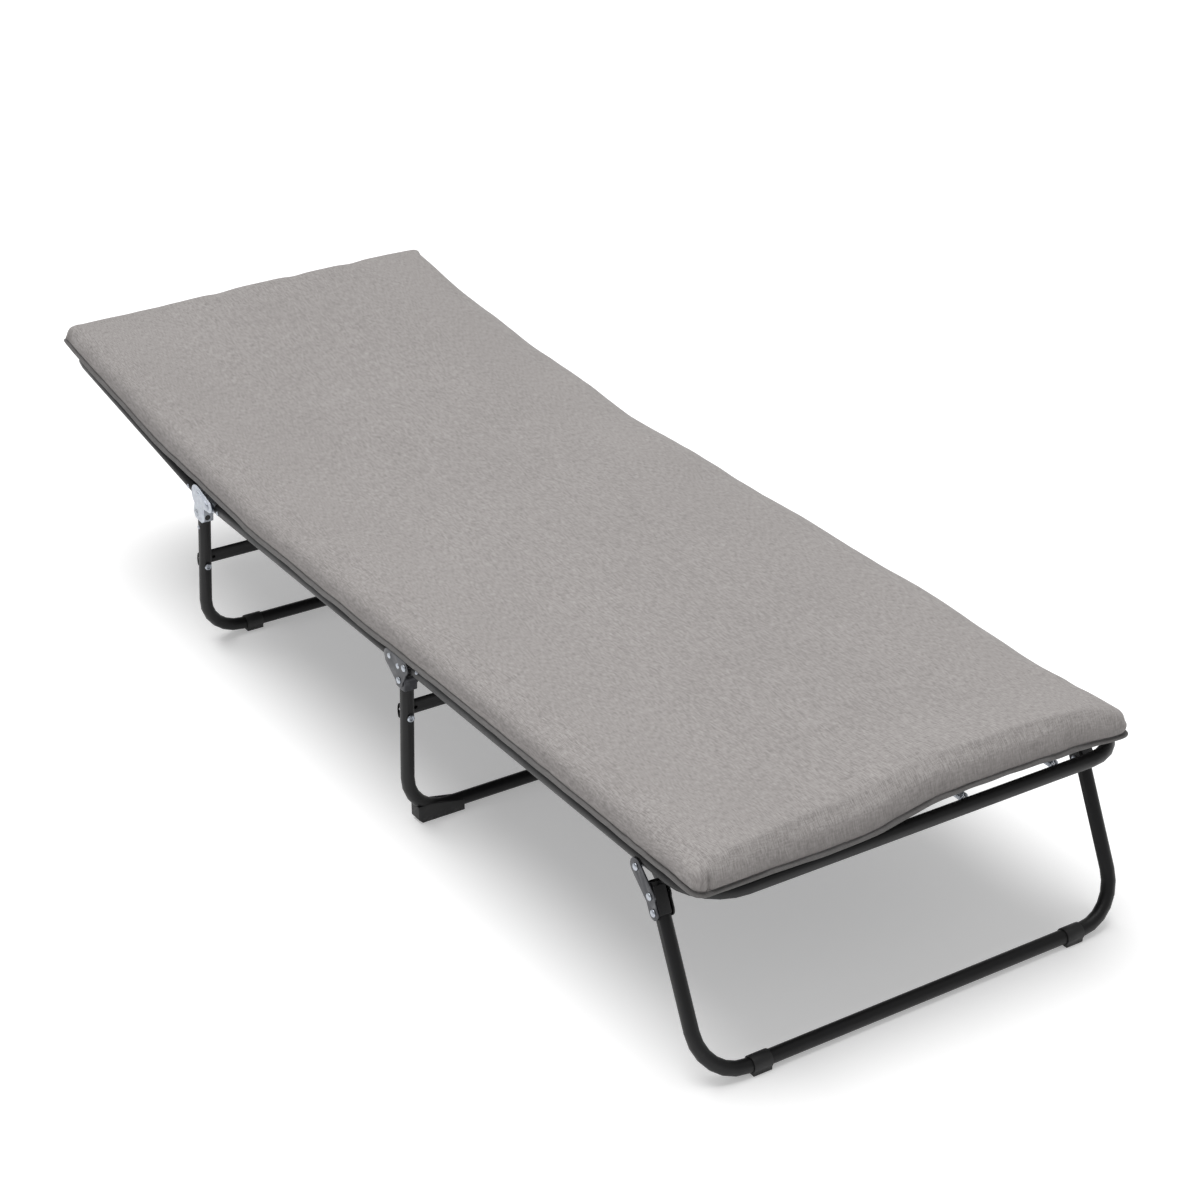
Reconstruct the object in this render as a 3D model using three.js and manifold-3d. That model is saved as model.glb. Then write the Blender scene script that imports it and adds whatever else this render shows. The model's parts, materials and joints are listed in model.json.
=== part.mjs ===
// Folding cot with a ratchet backrest, three U-shaped legs, a spring-hung deck and a padded mattress.
// Units are millimetres. +Z is up, the head end is at +Y, and the floor is z = 0.
import * as THREE from 'three';
import { mergeVertices } from 'three/addons/utils/BufferGeometryUtils.js';
import Module from 'manifold-3d';

const wasm = await Module();
wasm.setup();

// ---- driving dimensions ----
const tube = { radius: 10, wall: 1.2, bend: 65 };
const railX = 338;            // rail centre line to the cot's middle plane
const railZ = 268;            // rail centre line above the floor
const middleLength = 658;     // from the foot fold's axis to the backrest's axis
const footLength = 697;       // from the foot fold's axis to the foot end tube's centre line
const headLength = 518;       // from the backrest's axis to the head end tube's centre line
const backrestTilt = 9;       // degrees above flat
const foldLimit = 105;        // degrees above flat that either end section folds to
const gap = 0.3;              // between pieces that touch
const clearance = 0.6;        // between a plate and the tube that turns beside it
const plateThickness = 2;
const pinRadius = 3;
const legDrop = 26;           // a leg's pivot below the rail's centre line
const sole = 3;               // plastic under a leg's bottom tube
const pad = { halfWidth: 350, bottom: 11.5, top: 47, overhang: 11, edge: 9 };
const deck = { halfWidth: 296, thickness: 4, endGap: 46, foldGap: 62 };

const radians = THREE.MathUtils.degToRad;
const sides = [['left', -1], ['right', 1]];

// ---- materials ----
function paint(color, roughness, metalness) {
  return new THREE.MeshStandardMaterial({ color, roughness, metalness });
}
const blackPaint = paint(0x1b1b1c, 0.42, 0.3);
const darkSteel = paint(0x4a4b4e, 0.4, 0.8);
const zinc = paint(0xb9bcc0, 0.3, 1);
const blackPlastic = paint(0x161617, 0.6, 0);
const deckFabric = paint(0x2b2d30, 0.9, 0);
const padFabric = paint(0x9d9894, 0.95, 0);

// ---- solids ----
function toSolid(geometry) {
  const bare = geometry.clone();
  bare.deleteAttribute('normal');
  bare.deleteAttribute('uv');
  const merged = mergeVertices(bare);
  return new wasm.Manifold(new wasm.Mesh({
    numProp: 3,
    vertProperties: merged.attributes.position.array,
    triVerts: new Uint32Array(merged.index.array),
  }));
}

function toGeometry(solid) {
  const { vertProperties, triVerts } = solid.getMesh();
  const geometry = new THREE.BufferGeometry();
  geometry.setAttribute('position', new THREE.BufferAttribute(vertProperties, 3));
  geometry.setIndex(new THREE.BufferAttribute(triVerts, 1));
  return geometry;
}

function join(...geometries) {
  return toGeometry(geometries.map(toSolid).reduce((whole, next) => whole.add(next)));
}

function cut(geometry, ...cutters) {
  return toGeometry(cutters.map(toSolid).reduce((left, next) => left.subtract(next), toSolid(geometry)));
}

// A path given by stations that are straight runs and arcs, with one ring of a tube at each station.
class BentPath extends THREE.Curve {
  constructor(stations) {
    super();
    this.stations = stations;
  }
  getPointAt(u) {
    return this.stations[Math.round(u * (this.stations.length - 1))].point.clone();
  }
  getTangentAt(u) {
    return this.stations[Math.round(u * (this.stations.length - 1))].tangent.clone();
  }
}

// Stations of a U in its own plane: down one arm, round a bend, along the base, round a bend, up the other.
// The arms run along -v from v = top, the base lies at v = -depth, and halfWidth is to the arm's centre line.
function uStations(halfWidth, top, depth, bend) {
  const stepsPerBend = 6;
  const stations = [{ point: [-halfWidth, top], tangent: [0, -1] }];
  for (const side of [-1, 1]) {
    for (let step = 0; step <= stepsPerBend; step++) {
      const share = side < 0 ? step / stepsPerBend : 1 - step / stepsPerBend;
      const turn = share * Math.PI / 2;
      const along = [side * (halfWidth - bend + bend * Math.cos(turn)), -depth + bend - bend * Math.sin(turn)];
      stations.push({ point: along, tangent: [Math.sin(turn), side * Math.cos(turn)] });
    }
  }
  stations.push({ point: [halfWidth, top], tangent: [0, 1] });
  return stations;
}

// The U's plane is spanned by X and the direction given as v.
function uTube(halfWidth, top, depth, v) {
  const place = ([x, along]) => new THREE.Vector3(x, 0, 0).addScaledVector(v, along);
  const stations = uStations(halfWidth, top, depth, tube.bend)
    .map(({ point, tangent }) => ({ point: place(point), tangent: place(tangent) }));
  return sweep(stations);
}

function sweep(stations) {
  const section = new THREE.Shape().absarc(0, 0, tube.radius, 0, 2 * Math.PI);
  section.holes.push(new THREE.Path().absarc(0, 0, tube.radius - tube.wall, 0, 2 * Math.PI));
  return new THREE.ExtrudeGeometry(section, {
    steps: stations.length - 1,
    extrudePath: new BentPath(stations),
    curveSegments: 8,
  });
}

// A straight round tube along Y.
function straightTube(fromY, toY) {
  const tangent = new THREE.Vector3(0, 1, 0);
  return sweep([fromY, toY].map((y) => ({ point: new THREE.Vector3(0, y, 0), tangent })));
}

const sidewaysBasis = new THREE.Matrix4().makeBasis(
  new THREE.Vector3(0, 1, 0), new THREE.Vector3(0, 0, 1), new THREE.Vector3(1, 0, 0));

// An outline drawn in (y, z), extruded along X between two planes.
function slab(outline, fromX, toX, curveSegments = 5) {
  const depth = toX - fromX;
  const geometry = new THREE.ExtrudeGeometry(outline, { depth, bevelEnabled: false, curveSegments });
  return geometry.applyMatrix4(sidewaysBasis).translate(fromX, 0, 0);
}

// A round-ended link between two points (y, z).
function link([y0, z0], [y1, z1], radius, fromX, toX) {
  const angle = Math.atan2(z1 - z0, y1 - y0);
  const outline = new THREE.Shape()
    .absarc(y0, z0, radius, angle + Math.PI / 2, angle + 1.5 * Math.PI)
    .absarc(y1, z1, radius, angle - Math.PI / 2, angle + Math.PI / 2)
    .closePath();
  return slab(outline, fromX, toX);
}

function rodX(y, z, radius, fromX, toX, segments = 12) {
  return new THREE.CylinderGeometry(radius, radius, toX - fromX, segments)
    .rotateZ(Math.PI / 2).translate((fromX + toX) / 2, y, z);
}

// A shank along X with a low domed head at both ends.
function rivet(halfLength, radius, headRadius, headHeight) {
  const dome = [0.0, 0.6, 1.0].map((share) =>
    new THREE.Vector2(headRadius * Math.sqrt(1 - 0.75 * share * share), halfLength + headHeight * share));
  const upper = [new THREE.Vector2(radius, halfLength), ...dome, new THREE.Vector2(0, halfLength + headHeight)];
  const lower = upper.map(({ x, y }) => new THREE.Vector2(x, -y)).reverse();
  return new THREE.LatheGeometry([...lower, ...upper], 12).rotateZ(Math.PI / 2);
}

// ---- scene helpers ----
const cot = new THREE.Group();

function addPart(parent, name, geometry, material, place = [0, 0, 0]) {
  const mesh = new THREE.Mesh(geometry, material);
  mesh.name = name;
  mesh.position.set(...place);
  parent.add(mesh);
}

function addGroup(parent, place, tiltDegrees) {
  const group = new THREE.Group();
  group.position.set(...place);
  group.rotation.x = radians(tiltDegrees);
  parent.add(group);
  return group;
}

// Section frames: the middle section's origin is on the foot fold's axis at the rail's height.
const middle = addGroup(cot, [0, 0, railZ], 0);
const head = addGroup(middle, [0, middleLength, 0], backrestTilt);
const foot = addGroup(middle, [0, 0, 0], 0);

// ---- frame tubes ----
const foldEnd = 18;           // a rail's end from the foot fold's axis
const ratchetEnd = 50;        // a middle rail's end from the backrest's axis
const backrestEnd = 26;       // the backrest tube's end from the same axis

function addFrame() {
  const headTube = uTube(railX, -backrestEnd, headLength, new THREE.Vector3(0, -1, 0));
  addPart(head, 'head_frame_tube', headTube, blackPaint);
  const footTube = uTube(railX, -foldEnd, footLength, new THREE.Vector3(0, 1, 0));
  const bracketHoles = sides.map(([, side]) => rodX(footLegY, footLegZ, pinRadius + gap,
    side * railX - 2 * tube.radius, side * railX + 2 * tube.radius));
  addPart(foot, 'foot_frame_tube', cut(footTube, ...bracketHoles), blackPaint);
  for (const [name, side] of sides) {
    const rail = straightTube(foldEnd, middleLength - ratchetEnd);
    addPart(middle, `middle_rail_${name}`, rail, blackPaint, [side * railX, 0, 0]);
  }
}

// ---- legs ----
// top is the tube above a leg's pivot, short on the head leg so that it clears the ratchet as it folds.
// bar is the crossbar's place, as a share of the way down the leg.
const legs = {
  head: { y: middleLength + 9, tilt: 7, top: 4, bar: 0.42 },
  middle: { y: 16, tilt: 3, top: 9, bar: 0.26 },
};
const footLegY = -575;        // the foot leg's pivot along the foot section
const footLegZ = -11;
const footLegSplay = 25.5;    // degrees outwards from upright
const footLegSet = 16;        // the foot leg's tube below its pivot when it is folded flat

const barHeight = 24;
const barThickness = 9;

function legDepth(pivotZ, tilt) {
  return (pivotZ - sole - tube.radius) / Math.cos(radians(tilt));
}

function acrossBothLegs(make) {
  return sides.map(([, side]) => make(side));
}

function addLeg(name, { y, tilt, top, bar }) {
  const leg = addGroup(middle, [0, y, -legDrop], tilt);
  const depth = legDepth(railZ - legDrop, tilt);
  const barZ = -bar * depth;
  const pinHoles = acrossBothLegs((side) =>
    rodX(0, 0, pinRadius + gap, side * railX - 2 * tube.radius, side * railX + 2 * tube.radius));
  const boltHoles = acrossBothLegs((side) => boltHole(side * railX, barZ));
  const bare = uTube(railX, top, depth, new THREE.Vector3(0, 0, 1));
  addPart(leg, `${name}_leg_tube`, cut(bare, ...pinHoles, ...boltHoles), blackPaint);
  addPart(leg, `${name}_leg_crossbar`, crossbar(boltHoles, barY, barZ), blackPaint);
  for (const [sideName, side] of sides) {
    addPart(leg, `${name}_leg_crossbar_bolt_${sideName}`, crossbarBolt(), zinc, [side * railX, 0, barZ]);
  }
  return { leg, depth };
}

const barY = tube.radius + gap + barThickness / 2;   // on the head side of its leg
const boltRadius = 2.5;
const spareHoleInset = 20;    // a second hole in the crossbar, towards the middle of the cot

function boltHole(x, z) {
  return new THREE.CylinderGeometry(boltRadius + gap, boltRadius + gap, 8 * tube.radius, 12).translate(x, 0, z);
}

// An oval tube across the leg, bolted to both uprights.
function crossbar(boltHoles, y, z) {
  const halfLength = railX + 5;
  const outer = ovalBar(barHeight / 2, barThickness / 2, halfLength);
  const inner = ovalBar(barHeight / 2 - tube.wall, barThickness / 2 - tube.wall, halfLength + 1);
  const spareHoles = acrossBothLegs((side) => boltHole(side * (railX - spareHoleInset), z));
  return cut(cut(outer, inner).translate(0, y, z), ...boltHoles, ...spareHoles);
}

function ovalBar(halfHeight, halfThickness, halfLength) {
  const outline = new THREE.Shape().absellipse(0, 0, halfThickness, halfHeight, 0, 2 * Math.PI);
  return slab(outline, -halfLength, halfLength, 7);
}

// The bolt goes through the leg's tube from the foot side and its shank ends inside the crossbar.
function crossbarBolt() {
  const bolt = { head: 5, crown: 3.4, thickness: 3 };
  const headY = tube.radius + gap;
  const profile = [[0, -barY], [boltRadius, -barY], [boltRadius, headY], [bolt.head, headY],
    [bolt.head, headY + bolt.thickness - 1], [bolt.crown, headY + bolt.thickness], [0, headY + bolt.thickness]];
  return new THREE.LatheGeometry(profile.map(([radius, along]) => new THREE.Vector2(radius, along)), 14)
    .rotateX(Math.PI);
}

function addLegPins(leg, name) {
  for (const [sideName, side] of sides) {
    const halfLength = tube.radius + clearance + plateThickness + gap;
    const pivot = rivet(halfLength, pinRadius, 5.5, 2.2);
    addPart(leg, `${name}_leg_pivot_${sideName}`, pivot, zinc, [side * railX, 0, 0]);
  }
}

function addFootLeg() {
  const leg = addGroup(foot, [0, footLegY, footLegZ], -footLegSplay);
  const pivotZ = railZ + footLegZ;
  const set = footLegSet;
  const splay = radians(footLegSplay);
  const depth = (pivotZ - sole - tube.radius + set * Math.sin(splay)) / Math.cos(splay);
  const tubeTop = -20;
  const bare = uTube(railX, tubeTop, depth, new THREE.Vector3(0, 0, 1)).translate(0, -set, 0);
  const rivetZs = [-37, -58];
  const holes = sides.flatMap(([, side]) => rivetZs.map((z) =>
    rodX(-set, z, pinRadius + gap, side * railX - 2 * tube.radius, side * railX + 2 * tube.radius)));
  addPart(leg, 'foot_leg_tube', cut(bare, ...holes), blackPaint);
  for (const [sideName, side] of sides) {
    for (const [faceName, face, material] of [['outer', 1, darkSteel], ['inner', -1, blackPaint]]) {
      const near = side * railX + side * face * (tube.radius + clearance);
      const far = near + side * face * plateThickness;
      const [fromX, toX] = [Math.min(near, far), Math.max(near, far)];
      const shoulder = [-set, rivetZs[0]];
      const blank = join(
        link([0, 0], shoulder, 12, fromX, toX),
        link(shoulder, [-set, rivetZs[1]], 10, fromX, toX));
      const plate = cut(blank, rodX(0, 0, pinRadius + gap, fromX - 1, toX + 1));
      const drilled = cut(plate, ...rivetZs.map((z) => rodX(-set, z, pinRadius + gap, fromX - 1, toX + 1)));
      addPart(leg, `foot_leg_bracket_${faceName}_${sideName}`, drilled, material);
    }
    const halfLength = tube.radius + clearance + plateThickness + gap;
    const pin = rivet(halfLength, pinRadius, 5.5, 2.2);
    addPart(leg, `foot_leg_pivot_${sideName}`, pin, zinc, [side * railX, 0, 0]);
    rivetZs.forEach((z, index) =>
      addPart(leg, `foot_leg_rivet_${index + 1}_${sideName}`, pin.clone(), zinc, [side * railX, -set, z]));
  }
  return { leg, depth, set };
}

// ---- feet ----
const saddle = { length: 28, fromMiddle: 255, wall: 1.8 };

// A clip round the leg's bottom tube with a flat sole that is level on the floor.
function saddleFoot(legTilt) {
  const outer = tube.radius + saddle.wall;
  const flat = 9;
  const bottom = tube.radius + sole;
  const start = Math.atan2(-bottom + 4, flat + 2);
  const outline = new THREE.Shape()
    .absarc(0, 0, outer, start, Math.PI - start)
    .lineTo(-flat, -bottom)
    .lineTo(flat, -bottom)
    .closePath();
  outline.holes.push(new THREE.Path().absarc(0, 0, tube.radius + gap, 0, 2 * Math.PI));
  return slab(outline, -saddle.length / 2, saddle.length / 2, 8).rotateX(-radians(legTilt));
}

function addSaddles(leg, name, place, legTilt) {
  for (const [sideName, side] of sides) {
    const spot = [side * saddle.fromMiddle, place.y, place.z];
    addPart(leg, `${name}_leg_foot_${sideName}`, saddleFoot(legTilt), blackPlastic, spot);
  }
}

// A block on the middle leg's corner, with a flat level sole, that the bend and the bottom tube sit in.
function cornerBoot(side, depth, legTilt, legTube) {
  const inner = railX - tube.bend - 22;
  const outer = railX - 18;
  const bottom = -tube.radius - sole;
  const outline = new THREE.Shape()
    .moveTo(inner, bottom)
    .lineTo(outer, bottom)
    .lineTo(outer + 6, bottom + 6)
    .lineTo(outer + 6, 14)
    .lineTo(outer - 14, 14)
    .lineTo(inner, 3)
    .closePath();
  const halfDepth = 11;
  const block = new THREE.ExtrudeGeometry(outline, { depth: 2 * halfDepth, bevelEnabled: false })
    .translate(0, 0, -halfDepth)
    .rotateX(Math.PI / 2);
  const placed = (side < 0 ? block.rotateZ(Math.PI) : block).rotateX(-radians(legTilt)).translate(0, 0, -depth);
  return cut(placed, legTube);
}

function addBoots(leg, depth, legTilt) {
  const room = tube.radius + gap;
  const stations = uStations(railX, 0, depth, tube.bend).map(({ point, tangent }) => ({
    point: new THREE.Vector3(point[0], 0, point[1]),
    tangent: new THREE.Vector3(tangent[0], 0, tangent[1]),
  }));
  const section = new THREE.Shape().absarc(0, 0, room, 0, 2 * Math.PI);
  const legTube = new THREE.ExtrudeGeometry(section, {
    steps: stations.length - 1, extrudePath: new BentPath(stations), curveSegments: 8 });
  for (const [sideName, side] of sides) {
    addPart(leg, `middle_leg_boot_${sideName}`, cornerBoot(side, depth, legTilt, legTube), blackPlastic);
  }
}

// ---- backrest ratchet ----
const ratchet = { disc: 14, teeth: 12, toothDepth: 2.2, arm: 7.5, half: 8, slot: 5.2, tongue: 4.6, intoRail: 28 };

// The arm fixed in the middle rail: a fork whose two cheeks hold the toothed disc,
// with an ear for the head leg.
function ratchetMiddleArm(side) {
  const { disc, arm, half, slot, intoRail } = ratchet;
  const tail = link([-ratchetEnd - intoRail, 0], [-ratchetEnd + 2 * arm, 0], arm - 1, -4, 4);
  const body = link([-ratchetEnd + arm + 1 + gap, 0], [0, 0], arm + 1, -half, half);
  const cheeks = rodX(0, 0, disc, -half, half, 24);
  const fork = cut(join(tail, body, cheeks), rodX(0, 0, disc + 3, -slot, slot, 24));
  const earX = side * (tube.radius + clearance);
  const [fromX, toX] = side < 0 ? [earX - plateThickness, earX] : [earX, earX + plateThickness];
  const ear = join(
    link([0, 0], [legs.head.y - middleLength, -legDrop], 11, fromX, toX),
    link([0, 0], [-ratchetEnd + 14, 0], 9, fromX, toX));
  const bridge = side < 0
    ? rodX(0, 0, disc - 4, fromX, -half + 1, 20)
    : rodX(0, 0, disc - 4, half - 1, toX, 20);
  const pinHole = rodX(0, 0, pinRadius + gap, -2 * tube.radius, 2 * tube.radius);
  const legHole = rodX(legs.head.y - middleLength, -legDrop, pinRadius + gap, fromX - 1, toX + 1);
  return cut(join(fork, ear, bridge), pinHole, legHole);
}

// The arm fixed in the head rail: a toothed disc between the fork's cheeks.
function ratchetHeadArm() {
  const { disc, teeth, toothDepth, arm, tongue, intoRail } = ratchet;
  const outline = new THREE.Shape();
  for (let tooth = 0; tooth < teeth; tooth++) {
    const angle = 2 * Math.PI * tooth / teeth;
    const next = angle + 2 * Math.PI / teeth * 0.75;
    const [root, tip] = [disc - 1 - toothDepth, disc - 1];
    outline[tooth ? 'lineTo' : 'moveTo'](root * Math.cos(angle), root * Math.sin(angle));
    outline.lineTo(tip * Math.cos(next), tip * Math.sin(next));
  }
  outline.closePath();
  const neck = link([0, 0], [backrestEnd - arm - gap, 0], arm, -tongue, tongue);
  const tail = link([backrestEnd - 2 * arm, 0], [backrestEnd + intoRail, 0], arm - 1, -4, 4);
  return cut(join(slab(outline, -tongue, tongue), neck, tail), rodX(0, 0, pinRadius + gap, -10, 10));
}

function addRatchets() {
  for (const [name, side] of sides) {
    const axis = [side * railX, middleLength, 0];
    addPart(middle, `ratchet_middle_arm_${name}`, ratchetMiddleArm(side), zinc, axis);
    addPart(head, `ratchet_head_arm_${name}`, ratchetHeadArm(), zinc, [side * railX, 0, 0]);
    const inner = -side * (ratchet.half + gap);
    const outer = side * (tube.radius + clearance + plateThickness + gap);
    const pin = rivet(Math.abs(outer - inner) / 2, pinRadius, 6, 2);
    const centre = side * railX + (outer + inner) / 2;
    addPart(middle, `ratchet_pivot_${name}`, pin, zinc, [centre, middleLength, 0]);
  }
}

// ---- foot fold hinge ----
const tongueRadius = tube.radius - tube.wall - gap;

// One cheek of the hinge: riveted to the middle rail, with an eye on the fold's axis and a lobe for the leg.
function hingePlate(fromX, toX) {
  const legPivot = [legs.middle.y, -legDrop];
  const blank = join(
    link([0, 0], [46, 0], 10.5, fromX, toX),
    link([legs.middle.y, 0], legPivot, 10.5, fromX, toX),
    link([0, 0], legPivot, 9, fromX, toX),
    link([46, -5], legPivot, 9, fromX, toX));
  return cut(blank,
    rodX(0, 0, pinRadius + gap, fromX - 1, toX + 1),
    rodX(...legPivot, pinRadius + gap, fromX - 1, toX + 1));
}

// A plug in the foot rail's end with an eye on the fold's axis.
function foldTongue() {
  const eye = { radius: 9, half: 6 };
  const plugLength = 32;
  const collarLength = 4;
  const collarEnd = -foldEnd + gap;
  const plug = new THREE.CylinderGeometry(tongueRadius, tongueRadius, plugLength, 16)
    .translate(0, collarEnd + 1 - plugLength / 2, 0);
  const collar = new THREE.CylinderGeometry(tube.radius - 1, tube.radius, collarLength, 16)
    .translate(0, collarEnd + collarLength / 2, 0);
  const neck = link([0, 0], [collarEnd + eye.radius, 0], eye.radius, -eye.half, eye.half);
  return cut(join(plug, collar, neck), rodX(0, 0, pinRadius + gap, -2 * eye.half, 2 * eye.half));
}

function addFoldHinges() {
  const near = tube.radius + clearance;
  for (const [name, side] of sides) {
    for (const [faceName, face] of [['outer', 1], ['inner', -1]]) {
      const from = side * railX + side * face * near;
      const to = from + side * face * plateThickness;
      const plate = hingePlate(Math.min(from, to), Math.max(from, to));
      addPart(middle, `fold_hinge_plate_${faceName}_${name}`, plate, darkSteel);
    }
    addPart(foot, `fold_hinge_tongue_${name}`, foldTongue(), blackPlastic, [side * railX, 0, 0]);
    const pin = rivet(near + plateThickness + gap, pinRadius, 5.5, 2.2);
    addPart(middle, `fold_hinge_pivot_${name}`, pin, zinc, [side * railX, 0, 0]);
  }
}

// ---- deck and suspension springs ----
function deckPanel(length) {
  const { halfWidth, thickness } = deck;
  const corner = 30;
  const outline = new THREE.Shape()
    .moveTo(-halfWidth + corner, 0)
    .lineTo(halfWidth - corner, 0)
    .absarc(halfWidth - corner, corner, corner, -Math.PI / 2, 0)
    .absarc(halfWidth - corner, length - corner, corner, 0, Math.PI / 2)
    .absarc(-halfWidth + corner, length - corner, corner, Math.PI / 2, Math.PI)
    .absarc(-halfWidth + corner, corner, corner, Math.PI, 1.5 * Math.PI)
    .closePath();
  return new THREE.ExtrudeGeometry(outline, { depth: thickness, bevelEnabled: false, curveSegments: 4 })
    .translate(0, 0, -thickness / 2);
}

function addDeck() {
  const { endGap, foldGap } = deck;
  addPart(head, 'deck_head', deckPanel(headLength - endGap - foldGap), deckFabric, [0, foldGap, 0]);
  addPart(middle, 'deck_middle', deckPanel(middleLength - 2 * foldGap), deckFabric, [0, foldGap, 0]);
  const footPanel = deckPanel(footLength - endGap - foldGap);
  addPart(foot, 'deck_foot', footPanel, deckFabric, [0, -footLength + endGap, 0]);
}

// The envelope of a coil spring with a hook at each end, lying along Y.
function springEnvelope(length) {
  const hook = { radius: 1, length: 6 };
  const coil = { radius: 6, taper: 2 };
  const profile = [[0, 0], [hook.radius, 0], [hook.radius, hook.length],
    [coil.radius, hook.length + coil.taper],
    [coil.radius, length - hook.length - coil.taper], [hook.radius, length - hook.length],
    [hook.radius, length], [0, length]];
  return new THREE.LatheGeometry(profile.map(([radius, along]) => new THREE.Vector2(radius, along)), 10);
}

function addSprings() {
  const count = 4;
  const spacing = 150;
  const length = deck.endGap - tube.radius - 2 * gap;
  for (let index = 0; index < count; index++) {
    const x = (index - (count - 1) / 2) * spacing;
    const y = -footLength + tube.radius + gap;
    addPart(foot, `foot_spring_${index + 1}`, springEnvelope(length), zinc, [x, y, 0]);
  }
}

// ---- mattress ----
// Side profile from a slanted face at the fold to a rounded outer end. The slant leaves room for folding.
function padBlock(length, slantStart, slantEnd) {
  const { bottom, top, edge, halfWidth } = pad;
  const slant = Math.tan(radians(foldLimit / 2 + 1.5));
  const inset = (z, slanted) => (slanted ? z * slant + 1 : 0);
  const outline = new THREE.Shape();
  outline.moveTo(inset(bottom, slantStart), bottom);
  outline.lineTo(length - inset(bottom, slantEnd), bottom);
  if (slantEnd) {
    outline.lineTo(length - inset(top, true), top);
  } else {
    outline.absarc(length - edge, top - edge, edge, 0, Math.PI / 2);
  }
  if (slantStart) {
    outline.lineTo(inset(top, true), top);
  } else {
    outline.absarc(edge, top - edge, edge, Math.PI / 2, Math.PI);
  }
  outline.closePath();
  return slab(outline, -halfWidth, halfWidth, 4);
}

function addMattress() {
  const { overhang } = pad;
  addPart(head, 'pad_head', padBlock(headLength + overhang, true, false), padFabric);
  addPart(middle, 'pad_middle', padBlock(middleLength, true, true), padFabric);
  const footPad = footLength + overhang;
  addPart(foot, 'pad_foot', padBlock(footPad, false, true), padFabric, [0, -footPad, 0]);
}

// ---- assembly ----
addFrame();
addRatchets();
addFoldHinges();
for (const name of ['head', 'middle']) {
  const { tilt } = legs[name];
  const { leg, depth } = addLeg(name, legs[name]);
  addLegPins(leg, name);
  if (name === 'head') {
    addSaddles(leg, name, { y: 0, z: -depth }, tilt);
  } else {
    addBoots(leg, depth, tilt);
  }
}
const footLeg = addFootLeg();
addSaddles(footLeg.leg, 'foot', { y: -footLeg.set, z: -footLeg.depth }, -footLegSplay);
addDeck();
addSprings();
addMattress();

// The origin is on the floor under the middle of the cot's length.
cot.updateMatrixWorld(true);
const bounds = new THREE.Box3().setFromObject(cot, true);
cot.position.y = -(bounds.min.y + bounds.max.y) / 2;

export default cot;
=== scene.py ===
# Folding cot: mattress, deck, springs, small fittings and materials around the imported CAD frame.
# Units are metres. +Z is up, the head end is at +Y, and the floor is z = 0.
import json
import math

import bpy
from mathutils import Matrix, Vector, noise


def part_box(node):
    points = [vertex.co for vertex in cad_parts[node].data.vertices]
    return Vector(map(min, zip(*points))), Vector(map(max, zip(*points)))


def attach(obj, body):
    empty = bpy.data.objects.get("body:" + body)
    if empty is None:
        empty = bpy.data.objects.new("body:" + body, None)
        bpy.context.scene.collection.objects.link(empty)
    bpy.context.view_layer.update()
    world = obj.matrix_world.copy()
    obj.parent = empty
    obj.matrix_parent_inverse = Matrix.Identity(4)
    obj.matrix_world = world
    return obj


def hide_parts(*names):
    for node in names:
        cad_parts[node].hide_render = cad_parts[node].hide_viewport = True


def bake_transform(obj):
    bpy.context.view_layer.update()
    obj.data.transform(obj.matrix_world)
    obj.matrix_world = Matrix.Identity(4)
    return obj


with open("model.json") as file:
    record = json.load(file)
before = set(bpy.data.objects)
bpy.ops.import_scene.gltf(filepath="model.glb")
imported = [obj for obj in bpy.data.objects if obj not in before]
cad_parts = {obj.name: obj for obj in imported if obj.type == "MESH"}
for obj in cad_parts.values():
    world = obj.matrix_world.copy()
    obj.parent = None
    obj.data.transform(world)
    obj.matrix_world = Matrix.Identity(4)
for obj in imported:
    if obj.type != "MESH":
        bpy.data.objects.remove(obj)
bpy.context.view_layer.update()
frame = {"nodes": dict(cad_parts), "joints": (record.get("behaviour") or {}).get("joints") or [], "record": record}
scene = bpy.context.scene
joints = {joint["name"]: joint for joint in frame["joints"]}


def middle_of(node):
    low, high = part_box(node)
    return (low + high) / 2


# ---- places worked out from the frame ----
fold_axis = Vector(joints["foot_fold"]["pos_m"])
back_axis = Vector(joints["backrest_fold"]["pos_m"])
back_tilt = -math.radians(joints["backrest_fold"]["range_deg"][0])
rail_low, rail_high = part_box("middle_rail_right")
tube_radius = (rail_high.z - rail_low.z) / 2
rail_x = middle_of("middle_rail_right").x
rail_z = back_axis.z
foot_end_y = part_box("foot_frame_tube")[0].y + tube_radius
head_length = (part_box("head_frame_tube")[1].y - back_axis.y - tube_radius) / math.cos(back_tilt)
head_end = back_axis.y + head_length
SIDES = (("left", -1), ("right", 1))


def smooth_step(value):
    value = min(1.0, max(0.0, value))
    return value * value * (3 - 2 * value)


FOLD_ZONE = 0.075     # the mattress bends over this length on each side of a fold


def raised(x, along, height=0.0, zone=0.0):
    """Where a point along the cot and above the rails goes once the backrest is turned up."""
    offset = along - back_axis.y
    share = smooth_step((offset + zone) / (2 * zone)) if zone else float(offset > 0)
    turn = share * back_tilt
    y = offset * math.cos(turn) - height * math.sin(turn)
    z = offset * math.sin(turn) + height * math.cos(turn)
    return Vector((x, back_axis.y + y, rail_z + z))


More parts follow.
